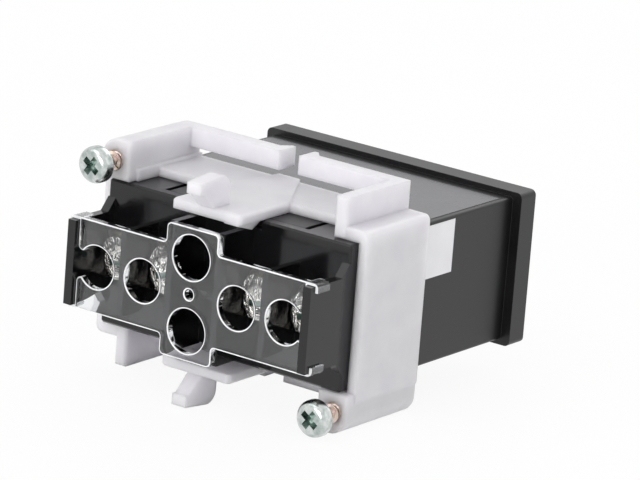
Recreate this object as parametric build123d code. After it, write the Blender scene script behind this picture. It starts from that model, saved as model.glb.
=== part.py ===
from build123d import *
import math
import os

os.makedirs("parts", exist_ok=True)

# A panel-mounted total counter with a liquid crystal display.
# Millimetres. The origin is the centre of the panel plane, which is the rear face of the bezel.
# The front looks along -Y, the terminals point along +Y, and +Z is up.

# Bezel
BEZEL_W = 48.0
BEZEL_H = 24.0
BEZEL_DEPTH = 4.3
BEZEL_CORNER_R = 0.9
BEZEL_FRONT_CHAMFER = 0.6
BEZEL_LIP_X = 1.6
BEZEL_LIP_Z = 0.85
FRONT_WALL = 2.0

# Sleeve behind the panel
CASE_W = BEZEL_W - 2 * BEZEL_LIP_X
CASE_H = BEZEL_H - 2 * BEZEL_LIP_Z
CASE_EDGE_R = 0.5
CASE_LENGTH = 40.7
CASE_SIDE_WALL = 1.3
CASE_TOP_WALL = 2.0
SEAM_Y = 33.0
REAR_CHAMFER = 0.3

# Latching tongues on the top and the underside of the sleeve
TONGUE_W = 24.9
TONGUE_SLOT = 0.9
TONGUE_END_Y = 38.8
TONGUE_END_GAP = 0.1
BARB_W = 9.0
BARB_DEPTH = 0.7
BARB_LENGTH = 1.4
BARB_SETBACK = 1.0

# Lap joint between the sleeve and the terminal base
COLLAR_LENGTH = 5.2
COLLAR_WALL = 0.95
REAR_WALL = 1.8
JOINT_GAP = 0.05

# Window and display
WINDOW_SIDE = 4.2
WINDOW_ABOVE = 3.0
WINDOW_BELOW = 9.4
WINDOW_CORNER_R = 0.8
WINDOW_T = 1.0
WINDOW_LEDGE = 1.0
WINDOW_GAP = 0.05
GLASS_EDGE_X = 0.5
GLASS_EDGE_Z = 0.05
GLASS_T = 2.2
STRIP_INSET = 2.3
STRIP_T = 1.8
BOARD_T = 1.2
DISPLAY_BOARD_Y = 4.9
BOARD_GAP = 0.1

# Reset key and lock slider
KEY_FROM_SIDE = 8.0
KEY_FROM_BELOW = 5.4
KEY_W = 8.4
KEY_H = 4.0
KEY_CORNER_R = 0.7
KEY_PROUD = 0.3
KEY_EDGE_CHAMFER = 0.24
KEY_GAP = 0.1
KEY_FLANGE_EDGE = 0.6
KEY_FLANGE_H_EDGE = 0.4
KEY_FLANGE_T = 0.8
KEY_TRAVEL = 0.9
KEY_STEM_R = 1.7
DOME_R = 2.4
DOME_TOP_R = 1.3
DOME_H = 0.95
LOCK_FROM_KEY = 10.0
LOCK_W = 2.0
LOCK_H = 1.5
LOCK_TRAVEL = 2.2
LOCK_GAP = 0.1
LOCK_FLANGE_W = 7.0
LOCK_FLANGE_H = 3.4
LOCK_FLANGE_T = 0.8
LOCK_RECESS = 0.2
LOCK_SWITCH_W = 6.4
LOCK_SWITCH_H = 3.6
LOCK_SWITCH_D = 2.4

# Main board and what it carries
MAIN_BOARD_END_Y = 38.7
RAIL_T = 0.8
RAIL_DEPTH = 1.0
RAIL_GAP = 0.05
CELL_T = 5.0
CELL_EDGE_CHAMFER = 0.5
CELL_FROM_WALL = 1.85
CELL_SIDE_ROOM = 15.85
CELL_FROM_SCREWS = 0.45
TAB_T = 0.3
TAB_W = 5.0
TAB_EDGE_GAP = 0.3
CHIP_SIZE = 10.0
CHIP_T = 1.6
CHIP_LIFT = 0.1
CHIP_CHAMFER = 0.3
CHIP_FROM_WALL = 7.9
CHIP_Y = 19.0
CHIP_LEAD_L = 1.0
CHIP_LEAD_W = 0.5
CHIP_LEAD_T = 0.4
CHIP_LEAD_PITCH = 1.25
CHIP_LEADS = 7

# Terminals
TERMINAL_MARGIN = 5.0
BARRIER_T = 1.0
BARRIER_HALF_H = 6.6
BARRIER_END_Y = 47.7
END_WALL_T = 1.4
END_WALL_HALF_H = 6.5
END_WALL_END_Y = 49.8
GUSSET_HALF_H = 8.4
GUSSET_D = 1.6
TOWER_T = 1.1
TOWER_STEP = 0.1
TOWER_EDGE_Z = 1.15
TOWER_RIB_T = 1.0
TOWER_RIB_END_Y = 46.5
PLATE_SIDE_ROOM = 2.1
PLATE_HALF_H = 3.6
PLATE_T = 0.6
TAIL_W = 3.0
TAIL_END_Y = 37.1
SCREW_R = 1.75
SCREW_HOLE_GAP = 0.05
SCREW_WALL_GAP = 0.2
SCREW_LENGTH = 5.0
SCREW_HEAD_R = 3.0
SCREW_HEAD_H = 1.9
SCREW_HEAD_BEVEL_R = 0.7
SCREW_HEAD_BEVEL_H = 0.35
WASHER_T = 0.7
WASHER_CORNER_R = 1.2

# Clear cover over the terminals
COVER_OUT_Y = 48.9
COVER_T = 1.1
COVER_OVERHANG = 0.5
COVER_HALF_H = 6.95
COVER_TAB_INSET = 0.2
COVER_TAB_OVERHANG = 0.05
COVER_OUT_R = 0.8
COVER_IN_R = 0.6
COVER_WALL_GAP = 0.08
COVER_HOOK_Z = 5.6
COVER_HOOK_END_Y = 45.9
ACCESS_R = 3.3
CENTRE_ACCESS_R = 3.4
CENTRE_ACCESS_EDGE = 4.48
PEG_HOLE_R = 0.85
COVER_SLOT_HALF_H = 2.05
COVER_SLOT_MOUTH_R = 0.8
COVER_SLOT_MOUTH_SHARE = 0.9

# Mounting bracket
BRACKET_GAP_X = 0.2
BRACKET_GAP_Z = 0.15
BRACKET_HALF_H = 17.5
RING_T = 1.6
RING_CORNER_H = 0.5
RING_CORNER_R = 1.0
RING_FRONT_Y = 24.0
RING_REAR_Y = 39.2
BAR_T = 1.4
BAR_REAR_Y = 34.4
BLOCK_SIDE_T = 1.4
BLOCK_W = 5.3
BLOCK_REAR_Y = 41.0
BLOCK_R = 3.0
RIB_INSET = 4.45
RIB_T = 2.05
RIB_REAR_Y = 39.5
ARM_T = 2.5
ARM_H = 3.0
ARM_TIP_H = 2.9
ARM_TIP_X = 1.9
ARM_TIP_GAP = 3.5
ARM_CORNER_R = 1.75
PAD_PROUD = 1.4
PAD_W = 1.9
PAD_FLAT_SHARE = 0.35
WEB_FRONT_X = (-0.3, 3.6)
WEB_FRONT_H = 0.5
LEVER_HALF_W = 6.4
LEVER_T = 1.5
LEVER_REAR_Y = 46.2
LEVER_R = 0.8
SOFT_EDGE = 0.3

# Nib under the lever
NIB_OUT_X = 6.0
NIB_W = 2.6
NIB_FRONT_Y = 40.5
NIB_LOW_Y = 42.75
NIB_REAR_H = 0.15
NIB_CLEARANCE = 0.12

# Thumb fin on the lever
FIN_T = 2.6
FIN_FRONT_Y = 42.3
FIN_FRONT_R = 2.0
FIN_TIP_Y = 49.4
FIN_BELOW_ARM = 0.1
FIN_TIP_DROP = 0.5
FIN_LIP_DROP = 2.2
FIN_LIP_D = 0.7
FIN_FOOT_Y = 46.3
FIN_FOOT_H = 0.1
FIN_ROOT_Y = 45.4

# Rack that the nib runs over, in a groove on the top and the underside
RACK_START_Y = 24.2
RACK_DEPTH = 1.45
RACK_SIDE_GAP = 0.3
RACK_PITCH = 1.1
RACK_TOOTH_H = 0.22

# Jack screws
JACK_OFF_X = 0.15
JACK_OFF_Z = -0.2
JACK_R = 1.5
JACK_HOLE_GAP = 0.05
JACK_LENGTH = 22.0
JACK_HEAD_R = 2.8
JACK_HEAD_H = 2.0
JACK_HEAD_BEVEL_R = 0.9
JACK_HEAD_BEVEL_H = 0.6
JACK_BACKED_OUT = 3.5

# Screw tips, and cross recesses in the screw heads
SCREW_TIP_CHAMFER = 0.4
RECESS_W = 0.95
RECESS_SPAN = 3.3
RECESS_DEPTH = 1.2

# Labels
LABEL_T = 0.06
TOP_LABEL_EDGE = 0.9
TOP_LABEL_CORNER_R = 0.4
TOP_LABEL_Y = (2.2, 24.1)
SIDE_LABEL_Y = (14.9, 30.0)
SIDE_LABEL_H = 8.2
SIDE_LABEL_FROM_TOP = 0.55

# How far cutters reach past a face, how deep joined shapes overlap, and what counts as the same place
OVERCUT = 1.0
WELD = 0.4
NEAR = 0.01

# Values that follow from the ones above
CASE_X = CASE_W / 2
CASE_Z = CASE_H / 2
CAVITY_X = CASE_X - CASE_SIDE_WALL
CAVITY_Z = CASE_Z - CASE_TOP_WALL
REAR_FACE_Y = CASE_LENGTH
REAR_WALL_Y = CASE_LENGTH - REAR_WALL
BEZEL_FRONT_Y = -BEZEL_DEPTH
FRONT_WALL_REAR_Y = BEZEL_FRONT_Y + FRONT_WALL
COLLAR_X = CAVITY_X - JOINT_GAP
COLLAR_Z = CAVITY_Z - JOINT_GAP
COLLAR_START_Y = SEAM_Y - COLLAR_LENGTH
WINDOW_W = BEZEL_W - 2 * WINDOW_SIDE
WINDOW_H = BEZEL_H - WINDOW_ABOVE - WINDOW_BELOW
WINDOW_Z = BEZEL_H / 2 - WINDOW_ABOVE - WINDOW_H / 2
GLASS_W = WINDOW_W + 2 * GLASS_EDGE_X
GLASS_H = WINDOW_H + 2 * GLASS_EDGE_Z
STRIP_W = GLASS_W - 2 * STRIP_INSET
KEY_X = BEZEL_W / 2 - KEY_FROM_SIDE
KEY_Z = -BEZEL_H / 2 + KEY_FROM_BELOW
LOCK_X = KEY_X - LOCK_FROM_KEY
MAIN_BOARD_Y = DISPLAY_BOARD_Y + BOARD_T
MAIN_BOARD_TOP_Z = -PLATE_HALF_H
MAIN_BOARD_BOTTOM_Z = MAIN_BOARD_TOP_Z - BOARD_T
CELL_R = CAVITY_X - (CELL_FROM_WALL + CELL_SIDE_ROOM) / 2
CELL_X = -CAVITY_X + CELL_FROM_WALL + CELL_R
CHIP_X = CAVITY_X - CHIP_FROM_WALL
TERMINAL_PITCH = (CASE_X - TERMINAL_MARGIN) / 2
TERMINAL_X = (-2 * TERMINAL_PITCH, -TERMINAL_PITCH, TERMINAL_PITCH, 2 * TERMINAL_PITCH)
PLATE_W = TERMINAL_PITCH - PLATE_SIDE_ROOM
WASHER_W = PLATE_W
BARRIER_X = 1.5 * TERMINAL_PITCH
TOWER_HALF_H = CASE_Z - TOWER_EDGE_Z
TOWER_OUT = TERMINAL_PITCH / 2 + BARRIER_T / 2 + TOWER_STEP
TOWER_IN = TOWER_OUT - TOWER_T
END_WALL_IN_X = CASE_X - END_WALL_T
WASHER_REAR_Y = REAR_FACE_Y + PLATE_T + WASHER_T
CELL_Y = WASHER_REAR_Y - SCREW_LENGTH - CELL_FROM_SCREWS - CELL_R
COVER_IN_Y = COVER_OUT_Y - COVER_T
COVER_HALF_W = CASE_X + COVER_OVERHANG
COVER_TAB_HALF_W = TOWER_OUT - COVER_TAB_INSET
COVER_TAB_HALF_H = TOWER_HALF_H + COVER_TAB_OVERHANG
CENTRE_ACCESS_Z = COVER_TAB_HALF_H - CENTRE_ACCESS_EDGE
BRACKET_IN_X = CASE_X + BRACKET_GAP_X
BRACKET_IN_Z = CASE_Z + BRACKET_GAP_Z
BAR_TOP_Z = BRACKET_IN_Z + BAR_T
RING_HALF_W = BRACKET_IN_X + RING_T
RING_CORNER_HALF_H = BAR_TOP_Z + RING_CORNER_H
BLOCK_OUT_X = BRACKET_IN_X + BLOCK_SIDE_T
BLOCK_IN_X = BLOCK_OUT_X - BLOCK_W
RIB_IN_X = BRACKET_IN_X - RIB_INSET
RIB_OUT_X = RIB_IN_X + RIB_T
ARM_UNDER_Z = BRACKET_HALF_H - ARM_H
ARM_TIP_Z = BRACKET_HALF_H - ARM_TIP_H
ARM_REAR_Y = RING_FRONT_Y + ARM_T
LEVER_TOP_Z = BRACKET_IN_Z + LEVER_T
FIN_TOP_Z = BRACKET_HALF_H - FIN_BELOW_ARM
NIB_LOW_Z = TOWER_HALF_H + NIB_CLEARANCE
RACK_W = NIB_W + 2 * RACK_SIDE_GAP
RACK_X = NIB_OUT_X - NIB_W / 2
RACK_FLOOR_Z = CASE_Z - RACK_DEPTH
JACK_X = (BLOCK_IN_X + BLOCK_OUT_X) / 2 + JACK_OFF_X
JACK_Z = (BRACKET_IN_Z + BRACKET_HALF_H) / 2 + JACK_OFF_Z
JACK_SEAT_Y = BLOCK_REAR_Y + JACK_BACKED_OUT
TOP_LABEL_W = CASE_W - 2 * TOP_LABEL_EDGE


def rect(x0, x1, z0, z1, radius=0.0):
    """A rectangle between two corners, with rounded corners where a radius is given."""
    width = x1 - x0
    height = z1 - z0
    shape = RectangleRounded(width, height, radius) if radius > 0 else Rectangle(width, height)
    return Pos((x0 + x1) / 2, (z0 + z1) / 2) * shape


def along_y(outline, y0, y1):
    """An outline drawn in X and Z, made solid from y0 to y1."""
    return extrude(Plane.XZ.offset(-y1) * outline, amount=y1 - y0)


def along_x(outline, x0, x1):
    """An outline drawn in Y and Z, made solid from x0 to x1."""
    return extrude(Plane.YZ.offset(x0) * outline, amount=x1 - x0)


def along_z(outline, z0, z1):
    """An outline drawn in X and Y, made solid from z0 to z1."""
    return extrude(Plane.XY.offset(z0) * outline, amount=z1 - z0)


def rod(x, z, radius, y0, y1):
    """A round bar along Y."""
    return along_y(Pos(x, z) * Circle(radius), y0, y1)


def turned_over(shape):
    """The same shape turned half a turn about the counter's long axis."""
    return Rot(0, 180, 0) * shape


def both_ways_up(shape):
    """A shape with its copy turned half a turn about the long axis."""
    return shape + turned_over(shape)


def near(a, b):
    return abs(a - b) < NEAR


def tongue_outline(width, clearance):
    """The top wall's section over the width of a latching tongue."""
    return rect(-width / 2, width / 2, CAVITY_Z - clearance, CASE_Z + clearance)


def barb(clearance):
    """The tongue's catch, a wedge that points inwards under the rear end of the tongue."""
    rear = TONGUE_END_Y - BARB_SETBACK + clearance
    front = rear - BARB_LENGTH - 2 * clearance
    top = CAVITY_Z + clearance
    tip = CAVITY_Z - BARB_DEPTH - clearance
    wedge = make_face(
        Polyline((front, top), (rear, top), (rear, tip), (front, tip + BARB_DEPTH / 2), close=True)
    )
    half = BARB_W / 2 + clearance
    return along_x(wedge, -half, half)


def rack_groove():
    """The groove that the bracket's nib runs in, with its saw teeth left standing."""
    groove_top = CASE_Z + OVERCUT
    groove_end = CASE_LENGTH + OVERCUT
    points = [(RACK_START_Y, groove_top), (RACK_START_Y, RACK_FLOOR_Z)]
    count = int((SEAM_Y - RACK_START_Y) / RACK_PITCH)
    for tooth in range(count):
        rise = RACK_START_Y + (tooth + 1) * RACK_PITCH
        points.append((rise, RACK_FLOOR_Z + RACK_TOOTH_H))
        points.append((rise, RACK_FLOOR_Z))
    points.append((groove_end, RACK_FLOOR_Z))
    points.append((groove_end, groove_top))
    section = make_face(Polyline(*points, close=True))
    return along_x(section, -RACK_X - RACK_W / 2, -RACK_X + RACK_W / 2)


def board_rails():
    """Two ribs on each side wall that hold the main board's edges."""
    upper = MAIN_BOARD_TOP_Z + RAIL_GAP
    lower = MAIN_BOARD_BOTTOM_Z - RAIL_GAP
    start = MAIN_BOARD_Y + BOARD_GAP
    end = COLLAR_START_Y - 2 * BOARD_GAP
    rails = []
    for side in (-1, 1):
        inner = side * (CAVITY_X - RAIL_DEPTH)
        outer = side * (CAVITY_X + CASE_SIDE_WALL / 2)
        x0 = min(inner, outer)
        x1 = max(inner, outer)
        rails.append(along_y(rect(x0, x1, upper, upper + RAIL_T), start, end))
        rails.append(along_y(rect(x0, x1, lower - RAIL_T, lower), start, end))
    return rails


def front_case():
    """Bezel and sleeve in one moulding, open at the rear, with a tongue above and below."""
    bezel = along_y(RectangleRounded(BEZEL_W, BEZEL_H, BEZEL_CORNER_R), BEZEL_FRONT_Y, 0)
    bezel = chamfer(bezel.faces().sort_by(Axis.Y)[0].edges(), BEZEL_FRONT_CHAMFER)
    sleeve = along_y(RectangleRounded(CASE_W, CASE_H, CASE_EDGE_R), -WELD, SEAM_Y)
    tongue = along_y(tongue_outline(TONGUE_W, 0), SEAM_Y - WELD, TONGUE_END_Y)
    body = bezel + sleeve + both_ways_up(tongue + barb(0))
    body -= along_y(rect(-CAVITY_X, CAVITY_X, -CAVITY_Z, CAVITY_Z), FRONT_WALL_REAR_Y, SEAM_Y)
    for rail in board_rails():
        body += rail

    ahead = BEZEL_FRONT_Y - OVERCUT
    behind = FRONT_WALL_REAR_Y + OVERCUT
    recess_w = WINDOW_W + 2 * WINDOW_GAP
    recess_h = WINDOW_H + 2 * WINDOW_GAP
    recess = Pos(0, WINDOW_Z) * RectangleRounded(recess_w, recess_h, WINDOW_CORNER_R)
    body -= along_y(recess, ahead, BEZEL_FRONT_Y + WINDOW_T + WINDOW_GAP)
    view = Pos(0, WINDOW_Z) * Rectangle(WINDOW_W - 2 * WINDOW_LEDGE, WINDOW_H - 2 * WINDOW_LEDGE)
    body -= along_y(view, ahead, behind)

    key_hole = RectangleRounded(KEY_W + 2 * KEY_GAP, KEY_H + 2 * KEY_GAP, KEY_CORNER_R + KEY_GAP)
    body -= along_y(Pos(KEY_X, KEY_Z) * key_hole, ahead, behind)
    slot = Rectangle(LOCK_W + LOCK_TRAVEL + 2 * LOCK_GAP, LOCK_H + 2 * LOCK_GAP)
    body -= along_y(Pos(LOCK_X, KEY_Z) * slot, ahead, behind)
    return body - both_ways_up(rack_groove())


def end_wall():
    """Wall at the right end of the terminals, with a sloping gusset above and below."""
    foot = REAR_FACE_Y - WELD
    slope_end = REAR_FACE_Y + GUSSET_D
    wall = make_face(
        Polyline(
            (foot, -GUSSET_HALF_H),
            (REAR_FACE_Y, -GUSSET_HALF_H),
            (slope_end, -END_WALL_HALF_H),
            (END_WALL_END_Y, -END_WALL_HALF_H),
            (END_WALL_END_Y, END_WALL_HALF_H),
            (slope_end, END_WALL_HALF_H),
            (REAR_FACE_Y, GUSSET_HALF_H),
            (foot, GUSSET_HALF_H),
            close=True,
        )
    )
    return along_x(wall, END_WALL_IN_X, CASE_X)


def terminal_base():
    """Rear moulding: skirt and collar, rear wall, end walls, barriers and the centre tower."""
    skirt = along_y(RectangleRounded(CASE_W, CASE_H, CASE_EDGE_R), SEAM_Y + JOINT_GAP, REAR_FACE_Y)
    skirt = chamfer(skirt.faces().sort_by(Axis.Y)[-1].edges(), REAR_CHAMFER)
    collar = along_y(rect(-COLLAR_X, COLLAR_X, -COLLAR_Z, COLLAR_Z), COLLAR_START_Y, SEAM_Y + OVERCUT)
    inner_x = COLLAR_X - COLLAR_WALL
    inner_z = COLLAR_Z - COLLAR_WALL
    hollow = along_y(rect(-inner_x, inner_x, -inner_z, inner_z), COLLAR_START_Y - OVERCUT, REAR_WALL_Y)
    notch_w = TONGUE_W + 2 * TONGUE_SLOT
    notch_outline = rect(-notch_w / 2, notch_w / 2, COLLAR_Z, CASE_Z + OVERCUT)
    notch = along_y(notch_outline, SEAM_Y - OVERCUT, TONGUE_END_Y + TONGUE_END_GAP)
    body = skirt + collar - hollow
    body -= both_ways_up(notch + barb(JOINT_GAP))
    body -= both_ways_up(rack_groove())

    foot = REAR_FACE_Y - WELD
    barrier_in = BARRIER_X - BARRIER_T / 2
    barrier = rect(barrier_in, barrier_in + BARRIER_T, -BARRIER_HALF_H, BARRIER_HALF_H)
    tower_wall = rect(TOWER_IN, TOWER_OUT, -TOWER_HALF_H, TOWER_HALF_H)
    tower_rib = rect(-TOWER_IN, TOWER_IN, -TOWER_RIB_T / 2, TOWER_RIB_T / 2)
    body += both_ways_up(end_wall())
    body += both_ways_up(along_y(barrier, foot, BARRIER_END_Y))
    body += both_ways_up(along_y(tower_wall, foot, BARRIER_END_Y))
    body += along_y(tower_rib, foot, TOWER_RIB_END_Y)

    ahead = REAR_WALL_Y - OVERCUT
    behind = REAR_FACE_Y + OVERCUT
    tail_half_w = TAIL_W / 2 + JOINT_GAP
    tail_low = -PLATE_HALF_H - JOINT_GAP
    tail_high = -PLATE_HALF_H + PLATE_T + JOINT_GAP
    for x in TERMINAL_X:
        body -= rod(x, 0, SCREW_R + SCREW_WALL_GAP, ahead, behind)
        body -= along_y(rect(x - tail_half_w, x + tail_half_w, tail_low, tail_high), ahead, behind)
    return body


def cross_recess(x, z, face_y):
    """The crossed slots cut into a screw head from its outer face."""
    arm = Rectangle(RECESS_SPAN, RECESS_W)
    cross = Pos(x, z) * (arm + Rot(0, 0, 90) * arm)
    return along_y(cross, face_y - RECESS_DEPTH, face_y + OVERCUT)


def screw(x, z, seat_y, radius, length, head_r, head_h, bevel_r, bevel_h):
    """A bevelled screw with a cross recess. Its head sits on seat_y and points along +Y."""
    tip_y = seat_y - length
    top_y = seat_y + head_h
    profile = make_face(
        Polyline(
            (0, top_y),
            (0, tip_y),
            (radius - SCREW_TIP_CHAMFER, tip_y),
            (radius, tip_y + SCREW_TIP_CHAMFER),
            (radius, seat_y),
            (head_r, seat_y),
            (head_r, top_y - bevel_h),
            (head_r - bevel_r, top_y),
            close=True,
        )
    )
    turned = revolve(profile, Axis.Y)
    return Pos(x, 0, z) * turned - cross_recess(x, z, top_y)


def terminal_plates():
    """A tapped plate for each terminal, with a tail that runs forward onto the main board."""
    plates = []
    rear = REAR_FACE_Y + PLATE_T
    half_w = PLATE_W / 2
    for x in TERMINAL_X:
        plate = along_y(rect(x - half_w, x + half_w, -PLATE_HALF_H, PLATE_HALF_H), REAR_FACE_Y, rear)
        plate -= rod(x, 0, SCREW_R + SCREW_HOLE_GAP, REAR_FACE_Y - OVERCUT, rear + OVERCUT)
        tail_outline = rect(x - TAIL_W / 2, x + TAIL_W / 2, -PLATE_HALF_H, -PLATE_HALF_H + PLATE_T)
        plates.append(plate + along_y(tail_outline, TAIL_END_Y, REAR_FACE_Y + PLATE_T / 2))
    return Compound(plates)


def clamp_washer(x):
    """A square washer with rounded corners, held captive on a terminal screw."""
    outline = Pos(x, 0) * RectangleRounded(WASHER_W, WASHER_W, WASHER_CORNER_R)
    washer = along_y(outline, REAR_FACE_Y + PLATE_T, WASHER_REAR_Y)
    return washer - rod(x, 0, SCREW_R + SCREW_HOLE_GAP, REAR_FACE_Y, WASHER_REAR_Y + OVERCUT)


def terminal_screw(x):
    return screw(
        x,
        0,
        WASHER_REAR_Y,
        SCREW_R,
        SCREW_LENGTH,
        SCREW_HEAD_R,
        SCREW_HEAD_H,
        SCREW_HEAD_BEVEL_R,
        SCREW_HEAD_BEVEL_H,
    )


def cover_outline():
    """The cover's outer edge: a plate with a tab above and below, all corners rounded."""
    plate = rect(-COVER_HALF_W, COVER_HALF_W, -COVER_HALF_H, COVER_HALF_H)
    tab = rect(-COVER_TAB_HALF_W, COVER_TAB_HALF_W, -COVER_TAB_HALF_H, COVER_TAB_HALF_H)
    outline = plate + tab
    outer = [
        v
        for v in outline.vertices()
        if not (near(abs(v.X), COVER_TAB_HALF_W) and near(abs(v.Y), COVER_HALF_H))
    ]
    outline = fillet(outer, COVER_OUT_R)
    roots = [
        v
        for v in outline.vertices()
        if near(abs(v.X), COVER_TAB_HALF_W) and near(abs(v.Y), COVER_HALF_H)
    ]
    return fillet(roots, COVER_IN_R)


def end_wall_slot(side):
    """Room for one end wall in the cover: the wall's whole height, open towards the side."""
    wall_in = END_WALL_IN_X - COVER_WALL_GAP
    wall_out = CASE_X + COVER_WALL_GAP
    wall_z = END_WALL_HALF_H + COVER_WALL_GAP
    slot = rect(wall_in, wall_out, -wall_z, wall_z)
    slot += rect(wall_in, COVER_HALF_W + OVERCUT, -COVER_HOOK_Z, COVER_HOOK_Z)
    return slot if side > 0 else Rot(0, 0, 180) * slot


def terminal_cover():
    """Clear plate with a tab above and below, screwdriver holes, and hooks round the end walls."""
    wall_in = END_WALL_IN_X - COVER_WALL_GAP
    outer_hole_x = max(TERMINAL_X)
    hook_outline = cover_outline() - end_wall_slot(-1) - end_wall_slot(1)
    outline = hook_outline
    for x in TERMINAL_X:
        outline -= Pos(x, 0) * Circle(ACCESS_R)
    side_slot = rect(outer_hole_x, wall_in + WELD, -COVER_SLOT_HALF_H, COVER_SLOT_HALF_H)
    outline -= side_slot
    outline -= Rot(0, 0, 180) * side_slot
    mouth = [
        v
        for v in outline.vertices()
        if near(abs(v.X), wall_in) and near(abs(v.Y), COVER_SLOT_HALF_H)
    ]
    slot_length = wall_in - outer_hole_x - math.sqrt(ACCESS_R**2 - COVER_SLOT_HALF_H**2)
    outline = fillet(mouth, min(COVER_SLOT_MOUTH_R, COVER_SLOT_MOUTH_SHARE * slot_length))
    for z in (-CENTRE_ACCESS_Z, CENTRE_ACCESS_Z):
        outline -= Pos(0, z) * Circle(CENTRE_ACCESS_R)
    outline -= Circle(PEG_HOLE_R)

    tab_end = COVER_TAB_HALF_H + OVERCUT
    hooks = hook_outline - rect(-wall_in, wall_in, -tab_end, tab_end)
    return along_y(outline, COVER_IN_Y, COVER_OUT_Y) + along_y(hooks, COVER_HOOK_END_Y, COVER_IN_Y)


def fin():
    """The thumb fin that stands on a latch lever."""
    base = LEVER_TOP_Z - WELD
    shoulder = FIN_TOP_Z - FIN_FRONT_R
    crest_y = FIN_FRONT_Y + FIN_FRONT_R
    lip_z = FIN_TOP_Z - FIN_LIP_DROP
    profile = make_face(
        Polyline((FIN_FRONT_Y, base), (FIN_FRONT_Y, shoulder))
        + RadiusArc((FIN_FRONT_Y, shoulder), (crest_y, FIN_TOP_Z), FIN_FRONT_R)
        + Polyline(
            (crest_y, FIN_TOP_Z),
            (FIN_TIP_Y, FIN_TOP_Z - FIN_TIP_DROP),
            (FIN_TIP_Y, lip_z),
            (FIN_TIP_Y - FIN_LIP_D, lip_z),
            (FIN_FOOT_Y, LEVER_TOP_Z + FIN_FOOT_H),
            (FIN_ROOT_Y, base),
            (FIN_FRONT_Y, base),
        )
    )
    return along_x(profile, -FIN_T / 2, FIN_T / 2)


def latch_lever():
    """Springy plate behind the bar, with a thumb fin on it and a nib under its left rear corner."""
    front = BAR_REAR_Y - OVERCUT
    outline = Pos(0, (front + LEVER_REAR_Y) / 2) * Rectangle(2 * LEVER_HALF_W, LEVER_REAR_Y - front)
    outline = fillet(outline.vertices().group_by(Axis.Y)[-1], LEVER_R)
    plate = along_z(outline, BRACKET_IN_Z, LEVER_TOP_Z)
    top_edges = plate.faces().sort_by(Axis.Z)[-1].edges()
    plate = chamfer([e for e in top_edges if e.center().Y > BAR_REAR_Y], SOFT_EDGE)
    nib_profile = make_face(
        Polyline(
            (NIB_FRONT_Y, BRACKET_IN_Z),
            (NIB_LOW_Y, NIB_LOW_Z),
            (LEVER_REAR_Y, BRACKET_IN_Z - NIB_REAR_H),
            (LEVER_REAR_Y, BRACKET_IN_Z + WELD),
            (NIB_FRONT_Y, BRACKET_IN_Z + WELD),
            close=True,
        )
    )
    nib = along_x(nib_profile, -NIB_OUT_X, -NIB_OUT_X + NIB_W)
    nib = nib & along_z(outline, NIB_LOW_Z - OVERCUT, LEVER_TOP_Z)
    return plate + nib + fin()


def bar_web():
    """Stiffening web on the bar, narrow at the front edge and as wide as the lever at the rear."""
    base = BAR_TOP_Z - WELD
    crest = BAR_TOP_Z + WEB_FRONT_H
    outline = make_face(
        Polyline(
            (WEB_FRONT_X[0], RING_FRONT_Y),
            (WEB_FRONT_X[1], RING_FRONT_Y),
            (LEVER_HALF_W, BAR_REAR_Y),
            (-LEVER_HALF_W, BAR_REAR_Y),
            close=True,
        )
    )
    slope = make_face(
        Polyline(
            (RING_FRONT_Y, base),
            (BAR_REAR_Y, base),
            (BAR_REAR_Y, LEVER_TOP_Z),
            (RING_FRONT_Y, crest),
            close=True,
        )
    )
    return along_x(slope, -LEVER_HALF_W, LEVER_HALF_W) & along_z(outline, base, crest)


def arm_pad(x, slope):
    """Foot in front of an arm's tip that presses on the panel, with a slope away from the tip."""
    back = RING_FRONT_Y + WELD
    face = RING_FRONT_Y - PAD_PROUD
    profile = make_face(
        Polyline(
            (x, back),
            (x, face),
            (x + slope * PAD_W * PAD_FLAT_SHARE, face),
            (x + slope * PAD_W, RING_FRONT_Y),
            (x + slope * PAD_W, back),
            close=True,
        )
    )
    return along_z(profile, ARM_TIP_Z, BRACKET_HALF_H)


def bracket_half():
    """The upper half of the bracket: bar, screw block on the right, rib on the left, two arms."""
    bar_outline = rect(-RIB_IN_X - WELD, BLOCK_IN_X + WELD, BRACKET_IN_Z, BAR_TOP_Z)
    bar = along_y(bar_outline, RING_FRONT_Y, BAR_REAR_Y)

    block_outline = rect(BLOCK_IN_X, BLOCK_OUT_X, BRACKET_IN_Z, BRACKET_HALF_H)
    block_outline = fillet(block_outline.vertices().sort_by(lambda v: v.X + v.Y)[-1], BLOCK_R)
    block = along_y(block_outline, RING_FRONT_Y, BLOCK_REAR_Y)
    block = chamfer(block.faces().sort_by(Axis.Y)[-1].edges(), SOFT_EDGE)

    rib_outline = rect(-RIB_OUT_X, -RIB_IN_X, BRACKET_IN_Z, BRACKET_HALF_H)
    rib = along_y(rib_outline, RING_FRONT_Y, RIB_REAR_Y)
    rib = chamfer(rib.faces().sort_by(Axis.Y)[-1].edges(), SOFT_EDGE)

    right_tip = ARM_TIP_X
    left_tip = ARM_TIP_X - ARM_TIP_GAP
    right_outline = rect(right_tip, BLOCK_IN_X + WELD, ARM_UNDER_Z, BRACKET_HALF_H)
    right_arm = along_y(right_outline, RING_FRONT_Y, ARM_REAR_Y)
    left_outline = make_face(
        Polyline(
            (-RIB_OUT_X, BRACKET_IN_Z),
            (-RIB_OUT_X, BRACKET_HALF_H),
            (left_tip, BRACKET_HALF_H),
            (left_tip, ARM_TIP_Z),
            (-RIB_IN_X, ARM_TIP_Z),
            (-RIB_IN_X, BRACKET_IN_Z),
            close=True,
        )
    )
    corner = left_outline.vertices().sort_by(lambda v: v.Y - v.X)[-1]
    left_arm = along_y(fillet(corner, ARM_CORNER_R), RING_FRONT_Y, ARM_REAR_Y)

    half = bar + block + rib + right_arm + left_arm + bar_web() + latch_lever()
    return half + arm_pad(right_tip, 1) + arm_pad(left_tip, -1)


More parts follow.
